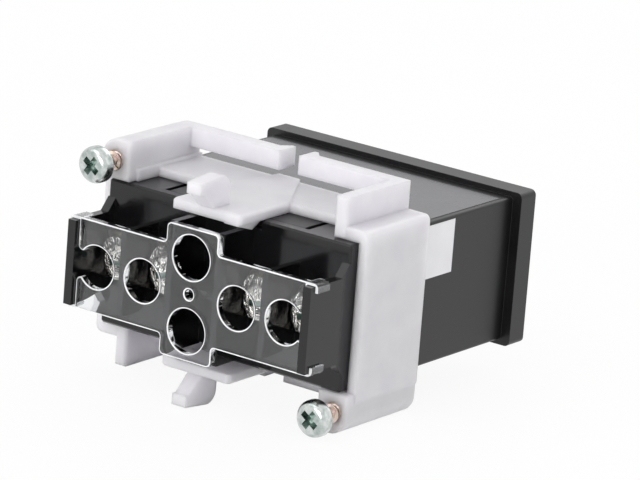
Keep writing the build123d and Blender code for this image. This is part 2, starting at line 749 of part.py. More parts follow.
def mounting_bracket():
    """The whole bracket: a ring round the case, and the same half above and below."""
    ahead = RING_FRONT_Y - OVERCUT
    ring = RectangleRounded(2 * RING_HALF_W, 2 * RING_CORNER_HALF_H, RING_CORNER_R)
    ring = along_y(ring, RING_FRONT_Y, RING_REAR_Y)
    middle = rect(-RIB_IN_X, RIB_IN_X, -BRACKET_HALF_H, BRACKET_HALF_H)
    ring -= along_y(middle, ahead, RING_REAR_Y + OVERCUT)
    body = ring + both_ways_up(bracket_half())
    passage = rect(-BRACKET_IN_X, BRACKET_IN_X, -BRACKET_IN_Z, BRACKET_IN_Z)
    body -= along_y(passage, ahead, RING_REAR_Y + WELD)
    hole = rod(JACK_X, JACK_Z, JACK_R + JACK_HOLE_GAP, ahead, BLOCK_REAR_Y + OVERCUT)
    return body - both_ways_up(hole)


def jack_screw(side):
    x = side * JACK_X
    z = side * JACK_Z
    return screw(
        x,
        z,
        JACK_SEAT_Y,
        JACK_R,
        JACK_LENGTH,
        JACK_HEAD_R,
        JACK_HEAD_H,
        JACK_HEAD_BEVEL_R,
        JACK_HEAD_BEVEL_H,
    )


def window_lens():
    outline = Pos(0, WINDOW_Z) * RectangleRounded(WINDOW_W, WINDOW_H, WINDOW_CORNER_R - WINDOW_GAP)
    front = BEZEL_FRONT_Y + WINDOW_GAP
    return along_y(outline, front, front + WINDOW_T)


def lcd_glass():
    """Two bonded sheets of glass, the rear one shorter so that the contact edge is bare."""
    split = FRONT_WALL_REAR_Y + GLASS_T / 2
    rear_face = FRONT_WALL_REAR_Y + GLASS_T
    front = along_y(Pos(0, WINDOW_Z) * Rectangle(GLASS_W, GLASS_H), FRONT_WALL_REAR_Y, split)
    rear = along_y(Pos(0, WINDOW_Z) * Rectangle(GLASS_W, GLASS_H - 2 * STRIP_T), split, rear_face)
    return front + rear


def connector_strip(side):
    """Elastomer strip that presses between the glass's contact edge and the display board."""
    edge = WINDOW_Z + side * GLASS_H / 2
    inner = edge - side * (STRIP_T - JOINT_GAP)
    glass_back = FRONT_WALL_REAR_Y + GLASS_T / 2
    outline = rect(-STRIP_W / 2, STRIP_W / 2, min(edge, inner), max(edge, inner))
    return along_y(outline, glass_back, DISPLAY_BOARD_Y)


def display_board():
    outline = Rectangle(2 * (CAVITY_X - BOARD_GAP), 2 * (CAVITY_Z - BOARD_GAP))
    return along_y(outline, DISPLAY_BOARD_Y, MAIN_BOARD_Y)


def main_board():
    """Board along the sleeve: wide between the rails, narrower where it enters the collar."""
    wide = CAVITY_X - BOARD_GAP
    narrow = COLLAR_X - COLLAR_WALL - 2 * BOARD_GAP
    step_y = COLLAR_START_Y - 2 * BOARD_GAP
    outline = make_face(
        Polyline(
            (-wide, MAIN_BOARD_Y),
            (wide, MAIN_BOARD_Y),
            (wide, step_y),
            (narrow, step_y),
            (narrow, MAIN_BOARD_END_Y),
            (-narrow, MAIN_BOARD_END_Y),
            (-narrow, step_y),
            (-wide, step_y),
            close=True,
        )
    )
    return along_z(outline, MAIN_BOARD_BOTTOM_Z, MAIN_BOARD_TOP_Z)


def lithium_cell():
    base = MAIN_BOARD_TOP_Z + TAB_T
    cell = along_z(Pos(CELL_X, CELL_Y) * Circle(CELL_R), base, base + CELL_T)
    return chamfer(cell.faces().sort_by(Axis.Z)[-1].edges(), CELL_EDGE_CHAMFER)


def cell_tab_minus():
    """Flat strip under the cell, with an end that lies on the board beside it."""
    outline = Pos(CELL_X - CELL_R / 2, CELL_Y) * Rectangle(CELL_R, TAB_W)
    return along_z(outline, MAIN_BOARD_TOP_Z, MAIN_BOARD_TOP_Z + TAB_T)


def cell_tab_plus():
    """Strip from the top of the cell over its edge and down to the board."""
    top = MAIN_BOARD_TOP_Z + TAB_T + CELL_T
    down_x = CELL_X + CELL_R + TAB_EDGE_GAP
    strip = make_face(
        Polyline(
            (CELL_X + CELL_R / 2, top),
            (CELL_X + CELL_R / 2, top + TAB_T),
            (down_x + TAB_T, top + TAB_T),
            (down_x + TAB_T, MAIN_BOARD_TOP_Z),
            (down_x, MAIN_BOARD_TOP_Z),
            (down_x, top),
            close=True,
        )
    )
    return along_y(strip, CELL_Y - TAB_W / 2, CELL_Y + TAB_W / 2)


def counter_chip():
    """Flat square package with a row of leads on two sides."""
    base = MAIN_BOARD_TOP_Z
    underside = base + CHIP_LIFT
    chip = along_z(Pos(CHIP_X, CHIP_Y) * Rectangle(CHIP_SIZE, CHIP_SIZE), underside, underside + CHIP_T)
    chip = chamfer(chip.faces().sort_by(Axis.Z)[-1].edges(), CHIP_CHAMFER)
    span = CHIP_SIZE + 2 * CHIP_LEAD_L
    for index in range(CHIP_LEADS):
        shift = (index - (CHIP_LEADS - 1) / 2) * CHIP_LEAD_PITCH
        lead = Pos(CHIP_X, CHIP_Y + shift) * Rectangle(span, CHIP_LEAD_W)
        chip += along_z(lead, base, base + CHIP_LEAD_T)
    return chip


def reset_key():
    """Button cap with a flange behind the front wall and a stem towards the contact."""
    flange_rear = FRONT_WALL_REAR_Y + KEY_FLANGE_T
    cap_outline = Pos(KEY_X, KEY_Z) * RectangleRounded(KEY_W, KEY_H, KEY_CORNER_R)
    cap = along_y(cap_outline, BEZEL_FRONT_Y - KEY_PROUD, flange_rear)
    cap = chamfer(cap.faces().sort_by(Axis.Y)[0].edges(), KEY_EDGE_CHAMFER)
    flange = Rectangle(KEY_W + 2 * KEY_FLANGE_EDGE, KEY_H + 2 * KEY_FLANGE_H_EDGE)
    cap += along_y(Pos(KEY_X, KEY_Z) * flange, FRONT_WALL_REAR_Y + JOINT_GAP, flange_rear)
    stem_end = DISPLAY_BOARD_Y - DOME_H - KEY_TRAVEL - JOINT_GAP
    return cap + rod(KEY_X, KEY_Z, KEY_STEM_R, FRONT_WALL_REAR_Y + KEY_FLANGE_T / 2, stem_end)


def contact_dome():
    """Shallow snap dome on the display board under the key's stem."""
    rim = DISPLAY_BOARD_Y
    top = rim - DOME_H
    profile = make_face(Polyline((DOME_R, rim), (0, rim), (0, top), (DOME_TOP_R, top), close=True))
    return Pos(KEY_X, 0, KEY_Z) * revolve(profile, Axis.Y)


def lock_slider():
    """Slider knob in the front wall, shown at its left end, with a flange behind the wall."""
    place = Pos(LOCK_X - LOCK_TRAVEL / 2, KEY_Z)
    flange_rear = FRONT_WALL_REAR_Y + LOCK_FLANGE_T
    switch_front = DISPLAY_BOARD_Y - LOCK_SWITCH_D
    knob = along_y(
        place * Rectangle(LOCK_W, LOCK_H), BEZEL_FRONT_Y + LOCK_RECESS, switch_front - JOINT_GAP
    )
    flange = place * Rectangle(LOCK_FLANGE_W, LOCK_FLANGE_H)
    return knob + along_y(flange, FRONT_WALL_REAR_Y + JOINT_GAP, flange_rear)


def lock_switch():
    body = Pos(LOCK_X, KEY_Z) * Rectangle(LOCK_SWITCH_W, LOCK_SWITCH_H)
    return along_y(body, DISPLAY_BOARD_Y - LOCK_SWITCH_D, DISPLAY_BOARD_Y)


def label_top():
    length = TOP_LABEL_Y[1] - TOP_LABEL_Y[0]
    outline = Pos(0, sum(TOP_LABEL_Y) / 2) * RectangleRounded(TOP_LABEL_W, length, TOP_LABEL_CORNER_R)
    return along_z(outline, CASE_Z, CASE_Z + LABEL_T)


def label_side():
    top = CASE_Z - SIDE_LABEL_FROM_TOP
    outline = rect(*SIDE_LABEL_Y, top - SIDE_LABEL_H, top)
    return along_x(outline, -CASE_X - LABEL_T, -CASE_X)


nodes = {
    "front_case": front_case(),
    "terminal_base": terminal_base(),
    "terminal_plates": terminal_plates(),
    "terminal_cover": terminal_cover(),
    "mounting_bracket": mounting_bracket(),
    "jack_screw_upper": jack_screw(1),
    "jack_screw_lower": jack_screw(-1),
    "label_top": label_top(),
    "label_side": label_side(),
    "window_lens": window_lens(),
    "lcd_glass": lcd_glass(),
    "connector_strip_upper": connector_strip(1),
    "connector_strip_lower": connector_strip(-1),
    "display_board": display_board(),
    "main_board": main_board(),
    "counter_chip": counter_chip(),
    "lithium_cell": lithium_cell(),
    "cell_tab_minus": cell_tab_minus(),
    "cell_tab_plus": cell_tab_plus(),
    "reset_key": reset_key(),
    "contact_dome": contact_dome(),
    "lock_slider": lock_slider(),
    "lock_switch": lock_switch(),
}
for number, x in enumerate(TERMINAL_X, start=1):
    nodes[f"terminal_screw_{number}"] = terminal_screw(x)
    nodes[f"clamp_washer_{number}"] = clamp_washer(x)

for name, solid in nodes.items():
    export_step(solid, f"parts/{name}.step")
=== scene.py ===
# %% [markdown]
# # A panel-mounted counter, seen from its terminals
# The CAD model already holds every piece at its true size and place. This lesson
# gives each piece its finish, puts real threads on the screws, gives the clear cover
# a rim with a painted glow, draws the digits of the display, and lights it all like a
# catalogue picture.

# %% Load the frame
import math

import bpy
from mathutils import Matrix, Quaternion, Vector


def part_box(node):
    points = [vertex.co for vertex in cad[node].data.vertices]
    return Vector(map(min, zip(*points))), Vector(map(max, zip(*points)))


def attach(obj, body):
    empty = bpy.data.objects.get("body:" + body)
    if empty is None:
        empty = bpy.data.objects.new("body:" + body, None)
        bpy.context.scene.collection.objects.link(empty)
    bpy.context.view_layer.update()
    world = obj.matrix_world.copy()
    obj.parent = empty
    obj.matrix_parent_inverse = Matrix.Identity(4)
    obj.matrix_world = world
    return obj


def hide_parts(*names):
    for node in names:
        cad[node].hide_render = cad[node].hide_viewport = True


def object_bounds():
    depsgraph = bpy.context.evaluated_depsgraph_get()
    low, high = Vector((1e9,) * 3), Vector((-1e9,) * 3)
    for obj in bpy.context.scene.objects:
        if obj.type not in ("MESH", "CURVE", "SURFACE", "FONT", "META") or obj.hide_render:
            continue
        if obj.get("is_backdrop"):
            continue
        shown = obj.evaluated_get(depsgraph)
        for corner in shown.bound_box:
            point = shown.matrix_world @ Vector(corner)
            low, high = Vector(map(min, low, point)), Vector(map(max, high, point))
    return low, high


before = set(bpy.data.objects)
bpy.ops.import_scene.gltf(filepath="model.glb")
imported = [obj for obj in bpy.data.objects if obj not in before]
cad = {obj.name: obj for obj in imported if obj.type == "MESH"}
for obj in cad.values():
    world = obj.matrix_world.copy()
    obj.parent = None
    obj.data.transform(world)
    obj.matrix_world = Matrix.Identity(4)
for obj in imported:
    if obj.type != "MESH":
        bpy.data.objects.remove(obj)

CAD_LOW, CAD_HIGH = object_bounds()
MM = 0.001
print("CAD box in mm:", [round(v / MM, 1) for v in (*CAD_LOW, *CAD_HIGH)])

# %% [markdown]
# ## The camera
# A catalogue photographer stands well back with a long lens, so that parallel edges
# stay nearly parallel. The place, direction and lens below were worked out from known
# corners of the case. The picture leans by a few degrees, which is a roll of the
# camera about its own axis.

# %% Camera
CAMERA_PLACE = Vector((-0.429548, 0.616599, 0.213507))
CAMERA_DIRECTION = Vector((0.56008651, -0.78139586, -0.27517922))
CAMERA_ROLL = math.radians(4.519)
CAMERA_LENS = 287.888
SENSOR_WIDTH = 36.0
NEAREST = 0.01
FARTHEST = 20.0  # nearest and farthest place that is drawn, in metres

bpy.ops.object.camera_add(location=CAMERA_PLACE)
camera = bpy.context.active_object
camera.rotation_mode = "QUATERNION"
camera.rotation_quaternion = CAMERA_DIRECTION.to_track_quat("-Z", "Y") @ Quaternion(
    (0, 0, 1), CAMERA_ROLL
)
camera.data.lens = CAMERA_LENS
camera.data.sensor_width = SENSOR_WIDTH
camera.data.clip_start = NEAREST
camera.data.clip_end = FARTHEST
bpy.context.scene.camera = camera
print("camera is", round(CAMERA_PLACE.length, 3), "m from the panel plane")

# %% [markdown]
# ## Small helpers
# Colours are written as sRGB hex, the way a paint chart gives them, and one function
# turns them to the linear values that Blender's sockets take. One more adds a shader
# node with its settings and its links, and a third starts a material.

# %% Helpers for colours and nodes
def hex_colour(text):
    """An sRGB hex colour such as '#e6e3ea' as a linear colour with full alpha."""
    channels = [int(text[i : i + 2], 16) / 255 for i in (1, 3, 5)]
    linear = [c / 12.92 if c <= 0.04045 else ((c + 0.055) / 1.055) ** 2.4 for c in channels]
    return (*linear, 1.0)


def add_node(tree, kind, settings=None, links=None, stops=None):
    """Adds a node. A setting names a property or an input, a link names an input, and the
    stops are the places and hex colours of a colour ramp."""
    node = tree.nodes.new(kind)
    for name, value in (settings or {}).items():
        if isinstance(name, int) or name in node.inputs:
            node.inputs[name].default_value = value
        else:
            setattr(node, name, value)
    for name, socket in (links or {}).items():
        tree.links.new(socket, node.inputs[name])
    for number, (position, colour) in enumerate(stops or ()):
        node.color_ramp.elements[number].position = position
        node.color_ramp.elements[number].color = hex_colour(colour)
    return node


def start_material(name, **sockets):
    """A material with its shader set up, and Object coordinates to hang patterns on."""
    material = bpy.data.materials.new(name)
    material.use_nodes = True
    tree = material.node_tree
    shader = tree.nodes["Principled BSDF"]
    for socket, value in sockets.items():
        shader.inputs[socket.replace("_", " ")].default_value = value
    place = add_node(tree, "ShaderNodeTexCoord").outputs["Object"]
    return material, tree, shader, place


print("the grey #808080 is", round(hex_colour("#808080")[0], 3), "in linear light")

# %% [markdown]
# ### Shaping by place
# In Blender's window a modeller clicks on the faces to work on. A script has no mouse, so
# it picks them by where they are and which way they face. Every helper first deselects
# all, because the CAD nodes are selected after loading and an operator would act on them
# too.

# %% Helpers for meshes
def select_only(*objects):
    """Leaves edit mode and selects these objects and nothing else."""
    if bpy.context.mode != "OBJECT":
        bpy.ops.object.mode_set(mode="OBJECT")
    bpy.ops.object.select_all(action="DESELECT")
    for item in objects:
        item.select_set(True)
    bpy.context.view_layer.objects.active = objects[0]


def deselect_inside(piece, kind):
    """Deselects the piece's own faces and points, and picks from now on by this kind."""
    select_only(piece)
    bpy.ops.object.mode_set(mode="EDIT")
    bpy.ops.mesh.select_mode(type=kind)
    bpy.ops.mesh.select_all(action="DESELECT")
    bpy.ops.object.mode_set(mode="OBJECT")


def edit_faces(piece, test):
    """Goes to edit mode with only the faces selected whose centre and normal pass."""
    deselect_inside(piece, "FACE")
    for face in piece.data.polygons:
        face.select = test(face.center, face.normal)
    bpy.ops.object.mode_set(mode="EDIT")


def edit_points(piece, test):
    """Goes to edit mode with only the points selected whose place passes."""
    deselect_inside(piece, "VERT")
    for point in piece.data.vertices:
        point.select = test(point.co)
    bpy.ops.object.mode_set(mode="EDIT")


def settle(piece):
    """Puts the piece's place and turn into its mesh, and applies its modifiers."""
    select_only(piece)
    bpy.ops.object.transform_apply(location=True, rotation=True, scale=True)
    for modifier in list(piece.modifiers):
        bpy.ops.object.modifier_apply(modifier=modifier.name)
    return piece


def copy_piece(source, name):
    """A second piece with a mesh of its own."""
    piece = bpy.data.objects.new(name, source.data.copy())
    bpy.context.scene.collection.objects.link(piece)
    return piece


def dress(piece, material):
    """Gives the whole piece one material."""
    piece.data.materials.clear()
    piece.data.materials.append(material)


print(len(cad), "CAD nodes are loaded, each with its place in its mesh")

# %% [markdown]
# ## Floor and backdrop
# The counter stands on the underside of its bracket, on a pale studio table of matt
# laminate, whose faint clouds are too wide to read as a pattern. Table and backdrop look
# white because rays that come from the camera, a mirror or glass see them so, and all
# other rays don't, so that this white throws no more light on the counter. The table
# keeps a small share of its own shading, and with it a soft shadow.

# %% Floor and backdrop
FLOOR_SIZE = 6.0
FLOOR_CLOUDS = 40 * MM
FLOOR_WHITENING = 0.92  # share of the plain white in what the camera sees of the table
SKY_LIGHT = 0.82  # strength of the backdrop as a light, where 1 is white


def seen_directly(tree):
    """1 for rays from the camera and for mirror and glass rays, and 0 for all others."""
    path = add_node(tree, "ShaderNodeLightPath")
    mirror = add_node(
        tree,
        "ShaderNodeMath",
        {"operation": "MAXIMUM"},
        {0: path.outputs["Is Camera Ray"], 1: path.outputs["Is Glossy Ray"]},
    )
    glass = add_node(
        tree,
        "ShaderNodeMath",
        {"operation": "MAXIMUM"},
        {0: mirror.outputs[0], 1: path.outputs["Is Transmission Ray"]},
    )
    return glass.outputs[0]


bpy.ops.mesh.primitive_plane_add(size=FLOOR_SIZE, location=(0, 0, CAD_LOW.z))
floor = settle(bpy.context.active_object)
floor.name = "studio_table"
laminate, tree, shader, place = start_material("matt_white_laminate", Roughness=0.6)
clouds = add_node(tree, "ShaderNodeTexNoise", {"Scale": 1 / FLOOR_CLOUDS}, {"Vector": place})
ramp = add_node(
    tree,
    "ShaderNodeValToRGB",
    links={"Fac": clouds.outputs["Fac"]},
    stops=((0.3, "#f4f4f4"), (0.7, "#fafafa")),
)
tree.links.new(ramp.outputs["Color"], shader.inputs["Base Color"])
white = add_node(tree, "ShaderNodeEmission", {"Color": (1, 1, 1, 1), "Strength": 1.0})
share = add_node(
    tree,
    "ShaderNodeMath",
    {"operation": "MULTIPLY", 1: FLOOR_WHITENING},
    {0: seen_directly(tree)},
)
mixed = add_node(
    tree,
    "ShaderNodeMixShader",
    links={0: share.outputs[0], 1: shader.outputs[0], 2: white.outputs[0]},
)
tree.links.new(mixed.outputs[0], tree.nodes["Material Output"].inputs["Surface"])
dress(floor, laminate)
floor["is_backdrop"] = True

world = bpy.data.worlds.new("studio")
bpy.context.scene.world = world
world.use_nodes = True
sky = world.node_tree.nodes["Background"]
strength = add_node(
    world.node_tree,
    "ShaderNodeMapRange",
    {"To Min": SKY_LIGHT, "To Max": 1.0},
    {"Value": seen_directly(world.node_tree)},
)
sky.inputs["Color"].default_value = (1, 1, 1, 1)
world.node_tree.links.new(strength.outputs[0], sky.inputs["Strength"])
print("the table top is at", round(CAD_LOW.z / MM, 1), "mm")

# %% [markdown]
# ### Lamps
# Product pictures like this one are lit by soft boxes. A square area lamp as large as a
# soft box gives the same wide highlights on screws and gloss plastic, where a point lamp
# would give hard dots. The strongest lamp faces the terminals, and one above it shades
# the forms from the upper left. All powers are low, so that a colour renders about as
# it is written.

# %% Lamps
LAMPS = {  # place and side of the square in metres, and power in watts
    "key_light": ((0.45, 0.75, 0.95), 0.8, 1.7),
    "fill_light": ((-0.05, 1.05, 0.10), 0.6, 4.6),
    "side_light": ((-1.00, -0.20, 0.50), 0.8, 0.6),
    "front_light": ((0.10, -1.10, 0.60), 0.8, 2.0),
}

for name, (place, size, watts) in LAMPS.items():
    bpy.ops.object.light_add(type="AREA", location=place)
    lamp = bpy.context.active_object
    lamp.name = name
    lamp.data.size = size
    lamp.data.energy = watts
    lamp.rotation_mode = "QUATERNION"
    lamp.rotation_quaternion = (-Vector(place)).to_track_quat("-Z", "Y")
bpy.context.scene.view_settings.view_transform = "Standard"

# %% [markdown]
# ## Black mouldings
# The sleeve and bezel are moulded ABS with the fine eroded grain of a textured tool,
# which gives a satin surface with wide, dim highlights. The terminal base is a
# glass-filled polyester from a polished tool. It is glossy but never quite flat, so its
# reflections are clear and a little bent. A Bevel node rounds the look of each edge by
# the small radius that every moulding has.

# %% Black plastics
EDGE_RADIUS = 0.12 * MM
MOULD_CLOUDS = 5 * MM


def moulded(name, dark, light, grain, depth, roughness, spread, edge=EDGE_RADIUS):
    """A moulded plastic, whose colour and gloss vary in wide clouds, the gloss by the
    spread, over a grain of the given width and depth."""
    material, tree, shader, place = start_material(name)
    clouds = add_node(
        tree, "ShaderNodeTexNoise", {"Scale": 1 / MOULD_CLOUDS, "Detail": 3.0}, {"Vector": place}
    )
    ramp = add_node(
        tree,
        "ShaderNodeValToRGB",
        links={"Fac": clouds.outputs["Fac"]},
        stops=((0.3, dark), (0.7, light)),
    )
    tree.links.new(ramp.outputs["Color"], shader.inputs["Base Color"])
    relief = add_node(
        tree, "ShaderNodeTexNoise", {"Scale": 1 / grain, "Detail": 2.0}, {"Vector": place}
    )
    gloss = add_node(
        tree,
        "ShaderNodeMapRange",
        {"To Min": roughness - spread, "To Max": roughness + spread},
        {"Value": clouds.outputs["Fac"]},
    )
    soft_edge = add_node(tree, "ShaderNodeBevel", {"samples": 4, "Radius": edge})
    bump = add_node(
        tree,
        "ShaderNodeBump",
        {"Strength": 1.0, "Distance": depth},
        {"Height": relief.outputs["Fac"], "Normal": soft_edge.outputs[0]},
    )
    tree.links.new(gloss.outputs[0], shader.inputs["Roughness"])
    tree.links.new(bump.outputs[0], shader.inputs["Normal"])
    return material


satin_black = moulded(
    "textured_black_abs",
    "#0b0b0d",
    "#121214",
    grain=0.16 * MM,
    depth=0.004 * MM,
    roughness=0.36,
    spread=0.05,
)
gloss_black = moulded(
    "glossy_black_polyester",
    "#08080a",
    "#0e0e10",
    grain=3.0 * MM,
    depth=0.012 * MM,
    roughness=0.14,
    spread=0.04,
)
dress(cad["front_case"], satin_black)
dress(cad["terminal_base"], gloss_black)
print("edges look rounded by", round(EDGE_RADIUS / MM, 2), "mm")

# %% [markdown]
# ## Natural nylon
# The bracket is nylon without any pigment: milky, a little cool, and light travels some
# millimetres inside it before it comes out. Subsurface scattering does that. It keeps
# the thin levers brighter than a painted surface would be, and with a wide soft edge it
# hides the hard lines between the faces.

# %% Bracket
NYLON_EDGE = 0.6 * MM
NYLON_DEPTH = 5.0 * MM
NYLON = {
    "IOR": 1.53,
    "Subsurface Weight": 0.85,
    "Subsurface Radius": (1.0, 0.95, 1.0),
    "Subsurface Scale": NYLON_DEPTH,
}

nylon = moulded(
    "natural_nylon",
    "#dbd8df",
    "#e3e1e6",
    grain=0.5 * MM,
    depth=0.006 * MM,
    roughness=0.40,
    spread=0.05,
    edge=NYLON_EDGE,
)
for socket, value in NYLON.items():
    nylon.node_tree.nodes["Principled BSDF"].inputs[socket].default_value = value
dress(cad["mounting_bracket"], nylon)
print("light travels about", round(NYLON_DEPTH / MM, 1), "mm inside the nylon")

# %% [markdown]
# ## The clear cover
# The cover is clear polycarbonate. What the eye finds first on such a part is its
# edges: light that enters the sheet anywhere travels inside it and comes out at the
# rim, so the rim shines. A sharp CAD edge has no width to shine from. On this copy of
# the cover the outer face is inset, filled again inside, and the ring that the inset
# leaves is lowered at its outside into a small chamfer with a finish of its own: a pale
# colour with a faint glow, which paints that shine. The copy is merged first, because
# the CAD mesh is made of loose triangles, and the normals that came with it are cleared.
# Three cuts part off the strips round the end walls, which get no ring, and the top of
# the side walls, which belongs to the rim. The points of the outer face are noted before
# the cuts, because only they are lowered later.

# %% Cover mesh
COVER_RIM_W = 0.18 * MM  # width of the ring
COVER_RIM_FALL = 0.06 * MM  # how far its outside is lowered
COVER_RIM_D = 0.16 * MM  # how far down the side walls the finish of the rim goes
COVER_WRAP_X = 20.95 * MM  # where the strips round the end walls begin
COVER_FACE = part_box("terminal_cover")[1].y
WELD = 0.0005 * MM
NEAR = 0.01 * MM


def rounded(place):
    """A place in whole micrometres, so that two equal places compare as equal."""
    return tuple(round(value / MM, 3) for value in place)


cover = copy_piece(cad["terminal_cover"], "terminal_cover_clear")
corners = {rounded(point.co) for point in cover.data.vertices if point.co.y > COVER_FACE - NEAR}
select_only(cover)
bpy.ops.object.mode_set(mode="EDIT")
bpy.ops.mesh.select_all(action="SELECT")
bpy.ops.mesh.remove_doubles(threshold=WELD)
bpy.ops.mesh.normals_make_consistent(inside=False)
bpy.ops.mesh.customdata_custom_splitnormals_clear()
for cut_at, across in (
    ((COVER_WRAP_X, 0, 0), (1, 0, 0)),
    ((-COVER_WRAP_X, 0, 0), (1, 0, 0)),
    ((0, COVER_FACE - COVER_RIM_D, 0), (0, 1, 0)),
):
    bpy.ops.mesh.select_all(action="SELECT")
    bpy.ops.mesh.bisect(plane_co=cut_at, plane_no=across)
bpy.ops.object.mode_set(mode="OBJECT")
print("cover has", len(cover.data.polygons), "faces before its rim is made")

# %% [markdown]
# ### Finishes of the cover
# The flat walls are clear, with a polish that varies a little from the flow of the melt.
# The rim is frosted and painted a pale white with a faint glow of its own: painted light
# that stands for the light that comes out of the sheet there.

# %% Clear wall and rim
clear, tree, shader, place = start_material(
    "clear_polycarbonate",
    Base_Color=hex_colour("#f1f3f5"),
    IOR=1.585,
    Transmission_Weight=1.0,
)
flow = add_node(tree, "ShaderNodeTexNoise", {"Scale": 1 / (9 * MM)}, {"Vector": place})
gloss = add_node(
    tree, "ShaderNodeMapRange", {"To Min": 0.02, "To Max": 0.05}, {"Value": flow.outputs["Fac"]}
)
tree.links.new(gloss.outputs[0], shader.inputs["Roughness"])

# pale colour and faint emission: the painted glow of the rim
rim, tree, shader, place = start_material(
    "polycarbonate_rim_with_painted_glow",
    IOR=1.585,
    Roughness=0.5,
    Emission_Color=hex_colour("#ffffff"),
    Emission_Strength=0.12,
)
glow = add_node(tree, "ShaderNodeTexNoise", {"Scale": 1 / (2 * MM)}, {"Vector": place})
ramp = add_node(
    tree,
    "ShaderNodeValToRGB",
    links={"Fac": glow.outputs["Fac"]},
    stops=((0.3, "#cfd0d2"), (0.7, "#f2f3f4")),
)
tree.links.new(ramp.outputs["Color"], shader.inputs["Base Color"])
dress(cover, clear)
cover.data.materials.append(rim)
print("cover finishes:", clear.name, "and", rim.name)

# %% [markdown]
# ### Rim of the cover
# The inset leaves a ring of even width along every edge of the face, round the holes too.
# The face inside the ring is deleted and filled anew, so that no sliver of the old
# triangles is left to catch the light.

# %% Rim of the cover
FACING = 0.99  # the least share of a normal along Y in a face that looks outwards
COVER_SMOOTHING = math.radians(20)


def is_ringed(centre, normal):
    """Whether a face lies in the outer face of the cover, between the end walls."""
    in_front = normal.y > FACING and centre.y > COVER_FACE - NEAR
    return in_front and abs(centre.x) < COVER_WRAP_X


edit_faces(cover, is_ringed)
bpy.ops.mesh.inset(thickness=COVER_RIM_W, depth=0, use_even_offset=True)
bpy.ops.mesh.delete(type="FACE")
bpy.ops.mesh.select_mode(type="EDGE")
bpy.ops.mesh.select_non_manifold()
bpy.ops.mesh.fill(use_beauty=True)
bpy.ops.object.mode_set(mode="OBJECT")
for point in cover.data.vertices:
    if rounded(point.co) in corners:
        point.co.y -= COVER_RIM_FALL
cover.data.update()
# the faces of the rim take the painted glow
for face in cover.data.polygons:
    depth = COVER_FACE - face.center.y
    face.material_index = 1 if NEAR < depth < COVER_RIM_D else 0
bpy.ops.object.shade_smooth_by_angle(angle=COVER_SMOOTHING)
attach(cover, "terminal_cover")
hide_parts("terminal_cover")
rims = sum(face.material_index == 1 for face in cover.data.polygons)
print("cover has", len(cover.data.polygons), "faces, of which the rim has", rims)

# %% [markdown]
# ## Screws with real threads
# A rolled thread is a ridge that climbs one pitch for each turn. One tooth of it is
# drawn as a short line, and the Screw modifier sweeps that line round and up, for some
# turns more than the shank has. The ends are then cut square and filled, and the tip is
# tapered a little. The shank reaches a short way into the head.

# %% Thread
THREAD_STEPS = 28  # flats in one turn
CREST_SHARE = 0.1  # width of the crest as a share of the pitch
FLANK_SLOPE = 0.6  # width of a flank as a share of the thread's depth
SPARE_TURNS = 2
BURIED = 0.3 * MM
SEAM_WELD = 0.002 * MM
TIP_ZONE = 0.02 * MM
TIP_TAPER = 0.8


def threaded_shank(radius, pitch, depth, length):
    """A threaded shank on the Y axis, from -length to just above zero."""
    root = radius - depth
    flank = FLANK_SLOPE * depth
    crest = CREST_SHARE * pitch
    valley = pitch - 2 * flank - crest
    bpy.ops.object.select_all(action="DESELECT")
    bpy.ops.mesh.primitive_plane_add(size=MM)
    shank = bpy.context.active_object
    bpy.ops.object.mode_set(mode="EDIT")
    bpy.ops.mesh.select_all(action="SELECT")
    bpy.ops.mesh.merge(type="CENTER")
    bpy.ops.transform.translate(value=(root, -length - SPARE_TURNS * pitch, 0))
    for step in ((depth, flank, 0), (0, crest, 0), (-depth, flank, 0), (0, valley, 0)):
        bpy.ops.mesh.extrude_region_move(TRANSFORM_OT_translate={"value": step})
    bpy.ops.object.mode_set(mode="OBJECT")
    sweep = shank.modifiers.new("Thread", "SCREW")
    sweep.axis = "Y"
    sweep.angle = 2 * math.pi
    sweep.screw_offset = pitch
    sweep.iterations = math.ceil((length + BURIED) / pitch) + SPARE_TURNS + 1
    sweep.steps = sweep.render_steps = THREAD_STEPS
    sweep.use_smooth_shade = True
    settle(shank)
    bpy.ops.object.mode_set(mode="EDIT")
    bpy.ops.mesh.select_all(action="SELECT")
    bpy.ops.mesh.remove_doubles(threshold=SEAM_WELD)
    for end, side in ((-length, -1), (BURIED, 1)):
        bpy.ops.mesh.select_all(action="SELECT")
        bpy.ops.mesh.bisect(
            plane_co=(0, end, 0), plane_no=(0, side, 0), use_fill=True, clear_outer=True
        )
    bpy.ops.mesh.select_all(action="SELECT")
    bpy.ops.mesh.normals_make_consistent(inside=False)
    edit_points(shank, lambda co: co.y < -length + TIP_ZONE)
    bpy.ops.transform.resize(value=(TIP_TAPER, 1, TIP_TAPER))
    bpy.ops.object.mode_set(mode="OBJECT")
    print("a thread of", round(pitch / MM, 2), "mm pitch has", len(shank.data.polygons), "faces")
    return shank


# %% [markdown]
# ### Heads
# A pan head is pressed cold from wire, so it has no sharp edge anywhere, and the cross is
# pressed in with a tapered punch. Here the head starts as a cylinder, its outer edge gets
# a wide rounded bevel and its foot a narrow one, and two tapered bars are subtracted from
# it.

# %% Head
HEAD_SIDES = 48
HEAD_CAP = 0.9  # the least share of a normal along Y in the two flat ends
CROWN_STEPS = 7
FOOT_ROUND = 0.12 * MM
FOOT_STEPS = 2
CROSS_SPAN = 4.0 * MM
CROSS_W = 1.35 * MM
CROSS_DEPTH = 1.2 * MM
CROSS_TAPER = 0.5


def driver_arm(top, turn):
    """One arm of the cross, wide at the top and narrower at the bottom."""
    bpy.ops.mesh.primitive_cube_add(size=1, location=(0, top, 0), rotation=(0, turn, 0))
    arm = bpy.context.active_object
    arm.scale = (CROSS_SPAN, 2 * CROSS_DEPTH, CROSS_W)
    settle(arm)
    edit_points(arm, lambda co: co.y < top)
    bpy.ops.transform.resize(value=(CROSS_TAPER, 1, CROSS_TAPER))
    bpy.ops.object.mode_set(mode="OBJECT")
    return arm


